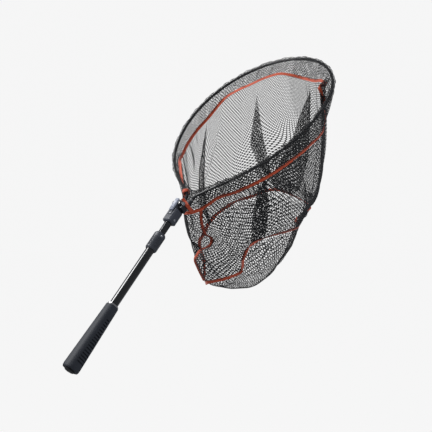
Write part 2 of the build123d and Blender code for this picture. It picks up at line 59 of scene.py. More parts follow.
def add(material, kind, links=(), **settings):
    """Add one shader node; settings are sockets or properties, links are (socket, source) pairs."""
    tree = material.node_tree
    node = tree.nodes.new("ShaderNode" + kind)
    for key, value in settings.items():
        socket = node.inputs.get(key.replace("_", " "))
        if socket is None:
            setattr(node, key, value)
        else:
            socket.default_value = value
    for socket, source in links:
        tree.links.new(source, node.inputs[socket])
    return node


def finish_named(name, **settings):
    """New material and its surface shader, with fixed values on the shader's own sockets."""
    material = bpy.data.materials.new(name)
    material.use_nodes = True
    shader = material.node_tree.nodes["Principled BSDF"]
    for key, value in settings.items():
        shader.inputs[key.replace("_", " ")].default_value = value
    return material, shader


def coat_nodes(material, *names):
    """Give a CAD piece its finish."""
    for name in names:
        piece = nodes[name]
        piece.data.materials.clear()
        piece.data.materials.append(material)


def link(material, source, target):
    material.node_tree.links.new(source, target)


grip_rubber, shader = finish_named("moulded_grip_rubber", Roughness=0.62, Specular_IOR_Level=0.4)
place = add(grip_rubber, "TexCoord").outputs["Object"]
grain = add(grip_rubber, "TexNoise", [("Vector", place)], Scale=1 / GRIP_GRAIN, Detail=3.0)
tone = add(grip_rubber, "TexNoise", [("Vector", place)], Scale=38.0, Detail=2.0)
shade = add(grip_rubber, "Mix", [("Factor", tone.outputs["Fac"])], data_type="RGBA")
shade.inputs[6].default_value = linear("#25282E")
shade.inputs[7].default_value = linear("#33373F")
link(grip_rubber, shade.outputs[2], shader.inputs["Base Color"])
relief = add(grip_rubber, "Bump", [("Height", grain.outputs["Fac"])], Strength=0.45, Distance=0.0004)
link(grip_rubber, relief.outputs["Normal"], shader.inputs["Normal"])
coat_nodes(grip_rubber, "grip")

plug_rubber, shader = finish_named("moulded_plug_rubber", Roughness=0.75)
place = add(plug_rubber, "TexCoord").outputs["Object"]
grain = add(plug_rubber, "TexNoise", [("Vector", place)], Scale=900.0, Detail=2.0)
shade = add(plug_rubber, "Mix", [("Factor", grain.outputs["Fac"])], data_type="RGBA")
shade.inputs[6].default_value = linear("#151618")
shade.inputs[7].default_value = linear("#222427")
link(plug_rubber, shade.outputs[2], shader.inputs["Base Color"])
coat_nodes(plug_rubber, "butt_plug")

# ---- Grip ring and hinge fork ----
# Turned and polished aluminium: a ring that finishes the grip, and the side plates of the hinge.
# Fine turning lines blur the reflections a little, so both read as soft silver.
polished, shader = finish_named("polished_aluminium", Metallic=1.0, Roughness=0.3)
shader.inputs["Base Color"].default_value = linear("#A9A7A6")
place = add(polished, "TexCoord").outputs["Object"]
lines = add(polished, "TexNoise", [("Vector", place)], Scale=1500.0, Detail=1.0)
blur = add(polished, "MapRange", [("Value", lines.outputs["Fac"])], To_Min=0.22, To_Max=0.38)
link(polished, blur.outputs["Result"], shader.inputs["Roughness"])
coat_nodes(polished, "grip_ring", "hinge_fork", "arm_ferrules")

# ---- Telescopic tubes ----
# Drawn aluminium tube, bright-dipped and anodised black. The dyed layer is clear and smooth, so
# the tube is nearly black with hard white streaks along it, and faint scuffs where it slides.
anodised, shader = finish_named(
    "anodised_black_tube", Metallic=0.0, Roughness=0.16, Coat_Weight=0.6, Coat_Roughness=0.06
)
place = add(anodised, "TexCoord").outputs["Object"]
scuffs = add(anodised, "TexNoise", [("Vector", place)], Scale=55.0, Detail=5.0)
shade = add(anodised, "Mix", [("Factor", scuffs.outputs["Fac"])], data_type="RGBA")
shade.inputs[6].default_value = linear("#050506")
shade.inputs[7].default_value = linear("#0C0D0F")
link(anodised, shade.outputs[2], shader.inputs["Base Color"])
blur = add(anodised, "MapRange", [("Value", scuffs.outputs["Fac"])], To_Min=0.12, To_Max=0.24)
link(anodised, blur.outputs["Result"], shader.inputs["Roughness"])
coat_nodes(anodised, "outer_tube", "inner_tube")

# ---- Lock collar, yoke and head block ----
# Glass-filled nylon, injection moulded with a fine texture, bonded or riveted on the tubes.
# Near black in shade, and blue-grey where the light grazes its satin faces. The slide and its pad have that
# lit blue-grey painted into their colour as painted light, and the head block has painted shade as a darker
# black.
MOULD_GRAIN = 0.0009
for name, low, high, pieces in (
    ("moulded_nylon_charcoal", "#2C2F36", "#3A3E46", ("lock_collar", "inner_foot")),
    ("moulded_nylon_hub", "#30333B", "#3E424C", ("yoke",)),
    # painted shade: the head block is coloured near black for the shade on its side
    ("nylon_with_painted_shade", "#15161A", "#202227", ("head_block",)),
    # painted light: the slide is coloured with the blue-grey of a lit face of the dark nylon
    ("nylon_with_painted_lit_grey", "#8A90A0", "#9AA0AF", ("lock_slide",)),
    # painted light: the pad is coloured pale, as a lit top face
    ("pad_with_painted_light", "#B9BDC8", "#C9CCD5", ("thumb_pad",)),
    ("natural_nylon", "#CFCDC4", "#DDDBD2", ("locking_bush",)),
):
    nylon, shader = finish_named(name, Roughness=0.42, Specular_IOR_Level=0.75)
    place = add(nylon, "TexCoord").outputs["Object"]
    grain = add(nylon, "TexNoise", [("Vector", place)], Scale=1 / MOULD_GRAIN, Detail=2.0)
    shade = add(nylon, "Mix", [("Factor", grain.outputs["Fac"])], data_type="RGBA")
    shade.inputs[6].default_value = linear(low)
    shade.inputs[7].default_value = linear(high)
    link(nylon, shade.outputs[2], shader.inputs["Base Color"])
    relief = add(nylon, "Bump", [("Height", grain.outputs["Fac"])], Strength=0.3, Distance=0.0003)
    link(nylon, relief.outputs["Normal"], shader.inputs["Normal"])
    coat_nodes(nylon, *pieces)

# ---- Pins, screws, springs and the release button ----
# Small turned or drawn steel parts, zinc plated: slightly grey, with a soft sparkle.
plated, shader = finish_named("zinc_plated_steel", Metallic=1.0, Roughness=0.34)
place = add(plated, "TexCoord").outputs["Object"]
sparkle = add(plated, "TexNoise", [("Vector", place)], Scale=800.0, Detail=2.0)
shade = add(plated, "Mix", [("Factor", sparkle.outputs["Fac"])], data_type="RGBA")
shade.inputs[6].default_value = linear("#B4B7BC")
shade.inputs[7].default_value = linear("#D3D5D8")
link(plated, shade.outputs[2], shader.inputs["Base Color"])
coat_nodes(plated, "yoke_rivet", "hinge_pin", "pin_clip", "arm_screws", "release_button")
coat_nodes(plated, "button_spring", "slide_spring")

# ---- Hoop ----
# Round aluminium tube, bent and powder coated gloss black before the net goes on.
# The coat has a slight orange peel that breaks up its highlight.
powder, shader = finish_named("powder_coated_hoop", Roughness=0.28, Coat_Weight=0.3)
place = add(powder, "TexCoord").outputs["Object"]
peel = add(powder, "TexNoise", [("Vector", place)], Scale=420.0, Detail=1.0)
shade = add(powder, "Mix", [("Factor", peel.outputs["Fac"])], data_type="RGBA")
shade.inputs[6].default_value = linear("#0D0D0F")
shade.inputs[7].default_value = linear("#16171A")
link(powder, shade.outputs[2], shader.inputs["Base Color"])
relief = add(powder, "Bump", [("Height", peel.outputs["Fac"])], Strength=0.15, Distance=0.0004)
link(powder, relief.outputs["Normal"], shader.inputs["Normal"])
coat_nodes(powder, "hoop")

# ---- Lines that the netting is cut and sewn along ----
# The rim follows the hoop. Two tapes ring the bag below it, one near the rim and one round the
# sagging floor panel. Both were sewn on loose netting, so they dip and wander as they hang.
along = Vector(joints["telescope"]["axis"])
across = Vector((-along.z, 0, along.x))
pin = Vector(joints["head_fold"]["pos_m"])
PIN_TO_THROAT, PIN_HEIGHT, HOOP_BELOW, HEAD_DROP = 0.053, 0.008, 0.0145, math.radians(3.5)
throat = pin + PIN_TO_THROAT * along - PIN_HEIGHT * across
hoop_origin = throat - HOOP_BELOW * across
hoop_ahead = math.cos(HEAD_DROP) * along - math.sin(HEAD_DROP) * across
HALF_WIDTH, ARM_SWEEP, ARM_SPLAY, ARM_SIDE, ARM_CORNER = 0.25, 0.35, math.radians(52), 0.013, -0.006
RING_STEPS = 480


def even(points, marks, shares=None):
    """A closed line resampled in even steps, with its marked points at set shares of the way round.

    Without shares the line is measured, and only its middle mark is put half way."""
    line = np.array(list(points) + [points[0]], float)
    reach = np.concatenate([[0], np.cumsum(np.linalg.norm(np.diff(line, axis=0), axis=1))])
    marked = reach[list(marks) + [len(points)]]
    if shares is None:
        tip = marked[len(marks) // 2]
        shares = np.interp(marked, [0, tip, reach[-1]], [0, 0.5, 1])
    want = np.interp(np.arange(RING_STEPS) / RING_STEPS, shares, marked)
    return np.stack([np.interp(want, reach, line[:, k]) for k in range(3)], axis=1), shares


def closed_curve(points, marks, shares=None):
    """Smooth closed line through given points, measured from the throat."""
    base = np.array(points, float)
    fine = []
    for i in range(len(base)):
        a, b, c, d = (base[(i + k) % len(base)] for k in (-1, 0, 1, 2))
        for t in np.arange(12) / 12:
            fine.append(0.5 * (2 * b + (c - a) * t + (2 * a - 5 * b + 4 * c - d) * t ** 2
                               + (3 * b - a - 3 * c + d) * t ** 3))
    return even(np.array(fine) + np.array(throat), [12 * m for m in marks], shares)


def hoop_outline():
    """Right half of the hoop's centre line, from the throat to the tip, in the hoop's own plane."""
    drop, run = ARM_SWEEP * (1 - math.cos(ARM_SPLAY)), ARM_SWEEP * math.sin(ARM_SPLAY)
    centre = ARM_CORNER + (HALF_WIDTH - ARM_SIDE - drop) / math.tan(ARM_SPLAY) + run
    line = [(0.006, 0.0), (0.010, 0.018), (0.0165, 0.029)]
    sweep = np.linspace(ARM_SPLAY, 0, 30)
    line += [(centre - ARM_SWEEP * math.sin(a), HALF_WIDTH - ARM_SWEEP * (1 - math.cos(a)))
             for a in sweep]
    bow = np.linspace(0, math.pi / 2, 40)[1:]
    line += [(centre + HALF_WIDTH * math.sin(a), HALF_WIDTH * math.cos(a)) for a in bow]
    return line


half = hoop_outline()
flat_rim = [(x, -y) for x, y in half] + [(x, y) for x, y in reversed(half[1:-1])]
rim_points = [hoop_origin + x * hoop_ahead + Vector((0, y, 0)) for x, y in flat_rim]
rim, _ = even(rim_points, [0, len(half) - 1])
# Each list runs from the hub round the right-hand side to the tip and back. The marked points of
# the two tapes lie above each other, so the wall's threads fall straight between them.
upper_line, fall = closed_curve([
    (0.022, -0.022, -0.050), (0.050, -0.060, -0.018), (0.066, -0.110, -0.002),
    (0.088, -0.150, 0.019), (0.126, -0.185, 0.046), (0.186, -0.212, 0.086), (0.246, -0.226, 0.126),
    (0.312, -0.226, 0.174), (0.366, -0.186, 0.244), (0.350, -0.184, 0.282), (0.348, -0.180, 0.296),
    (0.374, -0.186, 0.302), (0.372, -0.168, 0.314), (0.408, -0.115, 0.318), (0.430, -0.060, 0.329),
    (0.410, -0.022, 0.340), (0.394, 0.010, 0.344), (0.384, 0.060, 0.333), (0.378, 0.110, 0.316),
    (0.368, 0.160, 0.298),
    (0.350, 0.200, 0.272), (0.303, 0.222, 0.214), (0.255, 0.226, 0.173), (0.196, 0.206, 0.132),
    (0.142, 0.178, 0.094), (0.096, 0.138, 0.084), (0.066, 0.105, 0.055), (0.044, 0.075, 0.022),
    (0.020, 0.040, -0.028), (-0.008, 0.012, -0.060)], [0, 1, 3, 6, 15, 18, 21, 25])
lower_line, _ = closed_curve([
    (0.060, 0.000, -0.259), (0.046, -0.030, -0.256), (0.084, -0.068, -0.244), (0.112, -0.092, -0.226),
    (0.098, -0.112, -0.186), (0.112, -0.122, -0.155), (0.140, -0.132, -0.138), (0.172, -0.145, -0.128),
    (0.208, -0.156, -0.121), (0.250, -0.158, -0.115), (0.300, -0.150, -0.106), (0.296, -0.140, -0.088),
    (0.340, -0.130, -0.071), (0.412, -0.102, -0.060), (0.430, -0.058, -0.044), (0.408, 0.000, -0.016),
    (0.390, 0.045, -0.014), (0.362, 0.098, -0.036), (0.330, 0.120, -0.047), (0.264, 0.126, -0.073),
    (0.200, 0.116, -0.104), (0.150, 0.090, -0.133), (0.098, 0.060, -0.158), (0.086, 0.030, -0.205)],
    [0, 2, 5, 10, 14, 17, 20, 22], fall)
seam_line = np.array(throat) + np.array([
    (0.022, -0.022, -0.050), (0.027, -0.017, -0.085), (0.046, -0.012, -0.123), (0.080, -0.008, -0.136),
    (0.083, -0.006, -0.151), (0.069, -0.004, -0.161), (0.043, 0.0, -0.166), (0.018, 0.0, -0.192),
    (0.041, 0.0, -0.231), (0.060, 0.0, -0.259)])

# ---- Netting ----
# Knotless black polyester netting, knitted in small six-sided meshes, then heat set.
# Single layers look grey and airy; where it folds over itself it turns nearly solid.
MESH_WIDTH, MESH_RISE, THREAD_DEPTH = 0.0080, 0.0055, 0.0009
# Thread widths chosen panel by panel, for how dark each panel should look. They are not
# measured: a real netting of this kind has one thread throughout, and a thinner one.
STRETCHED, RELAXED, SLACK = 0.0018, 0.0023, 0.0028

net_yarn, shader = finish_named("knitted_black_polyester", Roughness=0.6, Sheen_Weight=0.1)
place = add(net_yarn, "TexCoord").outputs["Object"]
# The filament twist is finer than a tenth of a millimetre, so it is drawn coarser, to show at all.
twist = add(net_yarn, "TexNoise", [("Vector", place)], Scale=1 / 0.0006, Detail=2.0)
shade = add(net_yarn, "Mix", [("Factor", twist.outputs["Fac"])], data_type="RGBA")
shade.inputs[6].default_value = linear("#0A0A0B")
shade.inputs[7].default_value = linear("#1B1C1F")
link(net_yarn, shade.outputs[2], shader.inputs["Base Color"])


def mesh_piece(name, points, quads, material, body):
    """Mesh from arrays of points and four-sided faces, riding on a body."""
    mesh = bpy.data.meshes.new(name)
    mesh.vertices.add(len(points))
    mesh.vertices.foreach_set("co", np.asarray(points, np.float32).ravel())
    mesh.loops.add(4 * len(quads))
    mesh.loops.foreach_set("vertex_index", np.asarray(quads, np.int32).ravel())
    mesh.polygons.add(len(quads))
    mesh.polygons.foreach_set("loop_start", np.arange(0, 4 * len(quads), 4, dtype=np.int32))
    mesh.update(calc_edges=True)
    mesh.validate()
    mesh.materials.append(material)
    piece = bpy.data.objects.new(name, mesh)
    bpy.context.scene.collection.objects.link(piece)
    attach(piece, body)
    return piece


def sample(grid, u, v, around):
    """Points of a surface grid at shares u and v; around says that u runs in a closed loop."""
    columns, rows = grid.shape[:2]
    x = (u % 1.0) * columns if around else np.clip(u, 0, 1) * (columns - 1)
    y = np.clip(v, 0, 1) * (rows - 1)
    i, j = np.floor(x).astype(int), np.minimum(np.floor(y).astype(int), rows - 2)
    i = i % columns if around else np.minimum(i, columns - 2)
    nxt = (i + 1) % columns
    a, b = (x - np.floor(x))[..., None] if around else (x - i)[..., None], (y - j)[..., None]
    near = grid[i, j] * (1 - b) + grid[i, j + 1] * b
    far = grid[nxt, j] * (1 - b) + grid[nxt, j + 1] * b
    return near * (1 - a) + far * a


def grid_normals(grid, around):
    ahead = np.roll(grid, -1, 0) - np.roll(grid, 1, 0) if around else np.gradient(grid, axis=0)
    normal = np.cross(ahead, np.gradient(grid, axis=1))
    return normal / np.maximum(np.linalg.norm(normal, axis=2, keepdims=True), 1e-9)


def netting(name, grid, length, low, high, thread, around=False, part=(0.0, 1.0)):
    """Six-sided meshes laid on a surface grid, cut to its flat length and its edges low and high."""
    columns = int(round(length / MESH_WIDTH))
    width = length / columns
    rows = int((high.max() - low.min()) / MESH_RISE) + 2
    side = MESH_RISE / 1.5
    i, j = np.meshgrid(np.arange(columns), np.arange(rows), indexing="ij")
    i, j = i.ravel(), j.ravel()
    odd = j % 2
    stride = columns if around else columns + 2
    cell = lambda ci, cj: (cj + 1) * stride + (ci % columns if around else ci + 1)
    total = (rows + 2) * stride
    corner = np.stack([
        total + cell(i + odd, j + 1), cell(i, j), total + cell(i - 1 + odd, j + 1),
        cell(i - 1 + odd, j - 1), total + cell(i, j), cell(i + odd, j - 1)], axis=1)
    ids = np.arange(2 * total)
    spot = ids % total
    cj, ci = spot // stride - 1, spot % stride - (0 if around else 1)
    x = (ci + 0.5 * (cj % 2) + 0.5) * width
    y = low.min() + cj * MESH_RISE + np.where(ids < total, side, -side)
    u = x / length
    share = (u % 1.0) if around else np.clip(u, 0, 1)
    knots = np.arange(len(low)) / (len(low) if around else len(low) - 1)
    floor_y = np.interp(share, knots, low, period=1.0 if around else None)
    top_y = np.interp(share, knots, high, period=1.0 if around else None)
    v = (y - floor_y) / np.maximum(top_y - floor_y, 1e-6)
    inside = (v >= -0.001) & (v <= 1.001)
    if not around:
        inside &= (u >= 0) & (u <= 1)
    middle = (i + 0.5) / columns
    keep = inside[corner].all(axis=1) & (middle >= part[0]) & (middle < part[1])
    corner = corner[keep]
    used, corner = np.unique(corner, return_inverse=True)
    corner = corner.reshape(-1, 6)
    knot = sample(grid, u[used], v[used], around)
    normal = sample(grid_normals(grid, around), u[used], v[used], around)
    normal /= np.maximum(np.linalg.norm(normal, axis=1, keepdims=True), 1e-9)
    centre = knot[corner].mean(axis=1, keepdims=True)
    hole = centre + (knot[corner] - centre) * (1 - thread / MESH_WIDTH)
    count = len(used)
    points = np.concatenate([
        knot + normal * THREAD_DEPTH / 2, knot - normal * THREAD_DEPTH / 2, hole.reshape(-1, 3)])
    inner = 2 * count + np.arange(len(corner) * 6).reshape(-1, 6)
    after, inner_after = np.roll(corner, -1, 1), np.roll(inner, -1, 1)
    top = np.stack([corner, after, inner_after, inner], axis=2).reshape(-1, 4)
    under = np.stack([after + count, corner + count, inner, inner_after], axis=2).reshape(-1, 4)
    edges = np.stack([corner.ravel(), after.ravel()], axis=1)
    forward = edges[:, 0] * count + edges[:, 1]
    open_edge = edges[~np.isin(forward, edges[:, 1] * count + edges[:, 0])]
    first, second = open_edge.T
    rims = np.stack([second, first, first + count, second + count], axis=1)
    return mesh_piece(name, points, np.concatenate([top, under, rims]), net_yarn, "head")


def hang(grid, pinned, around, frames, grow, cap):
    """Let a surface grid hang as cloth from its pinned points, and cap how far a point moves."""
    columns, rows = grid.shape[:2]
    index = np.arange(columns * rows).reshape(columns, rows)
    ahead = np.roll(index, -1, 0) if around else index[1:]
    here = index if around else index[:-1]
    quads = np.stack([here[:, :-1], ahead[:, :-1], ahead[:, 1:], here[:, 1:]], axis=2).reshape(-1, 4)
    mesh = bpy.data.meshes.new("hanging_cloth")
    mesh.from_pydata(grid.reshape(-1, 3).tolist(), [], quads.tolist())
    cloth = bpy.data.objects.new("hanging_cloth", mesh)
    bpy.context.scene.collection.objects.link(cloth)
    group = cloth.vertex_groups.new(name="sewn")
    group.add(index[pinned].tolist(), 1.0, "REPLACE")
    settings = cloth.modifiers.new("hang", "CLOTH").settings
    settings.vertex_group_mass = "sewn"
    settings.quality = 6
    settings.mass = 0.05
    settings.tension_stiffness = settings.compression_stiffness = 12
    settings.bending_stiffness = 0.15
    settings.shrink_min = -grow
    settings.air_damping = 3
    for step in range(1, frames + 1):
        bpy.context.scene.frame_set(step)
    graph = bpy.context.evaluated_depsgraph_get()
    result = np.zeros(columns * rows * 3, np.float32)
    cloth.evaluated_get(graph).data.vertices.foreach_get("co", result)
    bpy.context.scene.frame_set(1)
    bpy.data.objects.remove(cloth)
    move = result.reshape(grid.shape).astype(float) - grid
    size = np.linalg.norm(move, axis=2, keepdims=True)
    return grid + move * np.minimum(1, cap / np.maximum(size, 1e-9))


# ---- Casing and rim band ----
# One strip of the netting folded over the hoop and sewn to itself along the upper tape, so the
# rim is two layers deep and rolls loosely round the tube.
CASING_RADIUS, CASING_STEPS = 0.0078, 46
LAYER_GAP, CASING_RIPPLE = 0.0012, 0.0016


def casing_grid():
    """Grid of the folded strip, up one side of the hoop and down the other, and its depth at each step."""
    ahead = np.roll(rim, -3, 0) - np.roll(rim, 3, 0)
    ahead /= np.linalg.norm(ahead, axis=1, keepdims=True)
    down = upper_line - rim
    down -= ahead * (down * ahead).sum(1, keepdims=True)
    depth = np.linalg.norm(down, axis=1)
    down /= depth[:, None]
    out = np.cross(ahead, down)
    rows = []
    for k in range(RING_STEPS):
        lump = 1 + 0.14 * math.sin(k * 0.31) + 0.1 * math.sin(k * 0.83 + 1.7)
        radius = CASING_RADIUS * lump
        arc = np.linspace(0, math.pi, 9)
        legs = np.linspace(0, 1, 8)[:-1]
        swell = LAYER_GAP + (radius - LAYER_GAP) * legs ** 0.8
        ripple = CASING_RIPPLE * np.sin(legs * math.pi) * math.sin(k * 0.47)
        height = depth[k] * (1 - legs)
        side = list(zip(ripple - swell, height))
        bow = [(-radius * math.cos(a), -radius * math.sin(a) * 0.9) for a in arc]
        back = list(zip((swell + ripple)[::-1], height[::-1]))
        line = np.array(side + bow + back)
        shift = upper_line[k] - rim[k] - down[k] * depth[k]
        path = rim[k] + out[k] * line[:, :1] + down[k] * line[:, 1:]
        path += shift * np.maximum(line[:, 1:], 0) / depth[k]
        reach = np.concatenate([[0], np.cumsum(np.linalg.norm(np.diff(path, axis=0), axis=1))])
        want = np.linspace(0, reach[-1], CASING_STEPS)
        rows.append([np.stack([np.interp(want, reach, path[:, c]) for c in range(3)], axis=1), reach[-1]])
    return np.array([row[0] for row in rows]), np.array([row[1] for row in rows])


def loop_length(line):
    return np.linalg.norm(np.roll(line, -1, 0) - line, axis=1).sum()


casing, casing_depth = casing_grid()
rim_length = loop_length(rim)
casing_pieces = [
    netting("casing_" + side, casing, rim_length, 0 * casing_depth, casing_depth, thread, True, part)
    for side, thread, part in (("right", RELAXED, (0.0, 0.5)), ("left", STRETCHED, (0.5, 1.0)))]

# ---- Bag wall ----
# A long strip of single netting gathered between the two tapes. It is wider than the lower tape
# needs, so the spare width falls in pleats that start as a point and open as they drop.
WALL_STEPS, WALL_COLUMNS = 40, 240
# Each pleat: share of the way round at the top and at the bottom, half width, height down the wall
# where it starts, height where it is fully open, and how far it stands inward.
PLEATS = (
    (0.690, 0.705, 0.019, 0.04, 0.60, 0.014), (0.640, 0.680, 0.006, 0.08, 0.80, 0.006),
    (0.566, 0.572, 0.014, 0.06, 0.65, 0.016), (0.440, 0.530, 0.026, 0.02, 0.60, 0.022),
    (0.340, 0.330, 0.012, 0.20, 0.80, 0.008), (0.205, 0.215, 0.010, 0.30, 0.90, 0.007),
    (0.122, 0.112, 0.014, -0.30, 0.50, 0.012), (0.870, 0.880, 0.014, 0.20, 0.80, 0.010))
PLEAT_DEPTH, SPARE_CLOTH = 3.1, 1.3


def pleated(share, along_pleat, pleats):
    """Where each bit of cloth ends up once the pleats are laid, and how far it stands off."""
    even_share = np.linspace(0, 1, 2001)
    packed = 1 + sum(SPARE_CLOTH * np.exp(-((even_share - (a + b) / 2) / w) ** 2 / 2)
                     for a, b, w, *_ in pleats)
    cloth = np.concatenate([[0], np.cumsum((packed[1:] + packed[:-1]) / 2)])
    place = np.interp(share, cloth / cloth[-1], even_share) + 0 * along_pleat
    drift, stand = 0 * place, 0 * place
    for first, last, width, start, full, push in pleats:
        opening = np.clip((along_pleat - start) / (full - start), 0, 1)
        opening = opening * (1 - 0.6 * np.clip((along_pleat - 0.88) / 0.12, 0, 1))
        spread = np.maximum(width * opening, 1e-5)
        s = (place - (first * (1 - along_pleat) + last * along_pleat)) / spread
        bell = np.exp(-s ** 2 / 2)
        drift -= PLEAT_DEPTH * spread * s * bell
        stand += push * opening * bell
    return place + drift, stand


def ring_at(line, share):
    """Points of a closed line at shares of the way round."""
    x = (share % 1.0) * len(line)
    i = np.floor(x).astype(int) % len(line)
    t = (x - np.floor(x))[..., None]
    return line[i] * (1 - t) + line[(i + 1) % len(line)] * t


def wall_grid():
    """Grid of the gathered wall before it hangs, from the upper tape down to the lower one."""
    u = np.arange(WALL_COLUMNS)[:, None] / WALL_COLUMNS
    v = np.linspace(0, 1, WALL_STEPS)[None, :]
    place, stand = pleated(u, v, PLEATS)
    top, low = ring_at(upper_line, place), ring_at(lower_line, place)
    v3 = v[..., None]
    wall = top * (1 - v3) + low * v3
    middle = wall.mean(axis=0, keepdims=True)
    outward = wall - middle
    outward[..., 2] = 0
    outward /= np.maximum(np.linalg.norm(outward, axis=2, keepdims=True), 1e-6)
    belly = 0.022 * np.sin(np.pi * v) ** 1.2
    wall += outward * (belly - stand)[..., None]
    seam_share = np.linspace(0, 1, len(seam_line))
    seam = np.stack([np.interp(v[0], seam_share, seam_line[:, c]) for c in range(3)], axis=1)
    near = np.exp(-(np.minimum(u, 1 - u) / 0.022) ** 2)[..., None]
    return wall * (1 - near) + (wall + (seam - wall[0])[None]) * near


wall = wall_grid()
sewn = np.zeros(wall.shape[:2], bool)
sewn[:, 0] = sewn[:, -1] = sewn[0, :] = True
wall = hang(wall, sewn, around=True, frames=14, grow=0.03, cap=0.030)
wall_drop = np.linalg.norm(np.diff(wall, axis=1), axis=2).sum(axis=1)
wall_drop = np.convolve(np.tile(wall_drop, 3), np.ones(9) / 9, "same")[WALL_COLUMNS:2 * WALL_COLUMNS]
spare = SPARE_CLOTH * sum(width for _, _, width, *_ in PLEATS) * math.sqrt(2 * math.pi)
wall_length = loop_length(upper_line) * (1 + spare)
wall_pieces = [
    netting("wall_" + side, wall, wall_length, 0 * wall_drop, wall_drop, thread, True, part)
    for side, thread, part in (("right", SLACK, (0.0, 0.5)), ("left", RELAXED, (0.5, 1.0)))]

# ---- Floor panel ----
# A flat cut of the same netting sewn inside the lower tape. It carries the weight, so it bellies
# down below the tape.
FLOOR_LONG, FLOOR_WIDE = 60, 44
# Each crease: share of the way across at the hub end and at the tip end, half width, where along the
# panel it starts, where it is fully open, and how far it stands up. They run from hub to tip.
FLOOR_CREASES = ((0.80, 0.74, 0.016, 0.05, 0.6, 0.006), (0.60, 0.62, 0.014, 0.0, 0.7, 0.006),
                 (0.22, 0.30, 0.020, 0.1, 0.8, 0.010))
# The lowest line of the belly, from hub to tip, measured from the throat.
FLOOR_KEEL_SHARES = (0, 0.08, 0.2, 0.35, 0.45, 0.55, 0.66, 0.77, 0.86, 0.94, 1)
FLOOR_KEEL = (
    (0.060, 0, -0.261), (0.080, -0.015, -0.271), (0.145, -0.020, -0.278), (0.203, -0.030, -0.275),
    (0.232, -0.040, -0.252), (0.262, -0.050, -0.226), (0.284, -0.070, -0.190), (0.300, -0.080, -0.150),
    (0.335, -0.075, -0.110), (0.390, -0.070, -0.072), (0.430, -0.058, -0.046))


def floor_grid():
    """Grid of the floor panel before it hangs, from the right-hand edge to the left-hand one."""
    share = np.linspace(0.004, 0.496, FLOOR_LONG)
    right_edge, left_edge = ring_at(lower_line, share), ring_at(lower_line, 1 - share)
    keel = np.array(throat) + np.stack(
        [np.interp(share * 2, FLOOR_KEEL_SHARES, column) for column in np.array(FLOOR_KEEL).T], axis=1)
    belly = keel - (right_edge + left_edge) / 2
    span, cross = share[:, None] * 2, np.linspace(0, 1, FLOOR_WIDE)[None, :]
    t, lift = pleated(cross, np.clip(span * 1.25, 0, 1) + 0 * cross, FLOOR_CREASES)
    t = np.clip(t, 0, 1)[..., None]
    panel = right_edge[:, None] * (1 - t) + left_edge[:, None] * t
    panel += belly[:, None] * np.sin(np.pi * t) ** 0.9
    panel[..., 2] += lift
    return panel


floor = floor_grid()
sewn = np.zeros(floor.shape[:2], bool)
sewn[0] = sewn[-1] = True
sewn[:, 0] = sewn[:, -1] = True
floor = hang(floor, sewn, around=False, frames=12, grow=0.03, cap=0.020)
floor_across = np.linalg.norm(np.diff(floor, axis=1), axis=2).sum(axis=1)
floor_along = np.linalg.norm(np.diff(floor[:, FLOOR_WIDE // 2], axis=0), axis=1).sum()
floor_piece = netting("floor_panel", floor, floor_along, -floor_across / 2, floor_across / 2, RELAXED)

# ---- Orange tapes ----
# Woven polyester grosgrain, 9.5 mm wide, sewn over the raw edges of the netting. Its fine ribs run
# across the tape, which gives it a soft sheen and a slightly toothed edge.
TAPE_WIDTH, TAPE_THICK, RIB_PITCH = 0.0095, 0.0016, 0.0016

grosgrain, shader = finish_named("woven_orange_grosgrain", Roughness=0.6, Sheen_Weight=0.35)
place = add(grosgrain, "UVMap").outputs["UV"]
# One wave repeats every 0.314 of a unit at scale 1, so its scale comes from the rib pitch.
ribs = add(grosgrain, "TexWave", [("Vector", place)], Scale=0.314 / RIB_PITCH, wave_profile="SIN")
weave = add(grosgrain, "TexNoise", [("Vector", place)], Scale=420.0, Detail=2.0)
mottle = add(grosgrain, "Mix", [("Factor", weave.outputs["Fac"])], data_type="RGBA")
mottle.inputs[6].default_value = linear("#98301A")
mottle.inputs[7].default_value = linear("#DC5A2C")
link(grosgrain, mottle.outputs[2], shader.inputs["Base Color"])
relief = add(grosgrain, "Bump", [("Height", ribs.outputs["Fac"])], Strength=0.5, Distance=0.0004)
link(grosgrain, relief.outputs["Normal"], shader.inputs["Normal"])


def lay_uv(piece, across, along_points):
    """Give a tape its real lengths as UVs; across and along_points hold one value for each point."""
    layer = piece.data.uv_layers.new(name="tape")
    owners = np.zeros(len(piece.data.loops), np.int32)
    piece.data.loops.foreach_get("vertex_index", owners)
    uv = np.stack([along_points[owners], across[owners]], axis=1)
    layer.data.foreach_set("uv", uv.astype(np.float32).ravel())


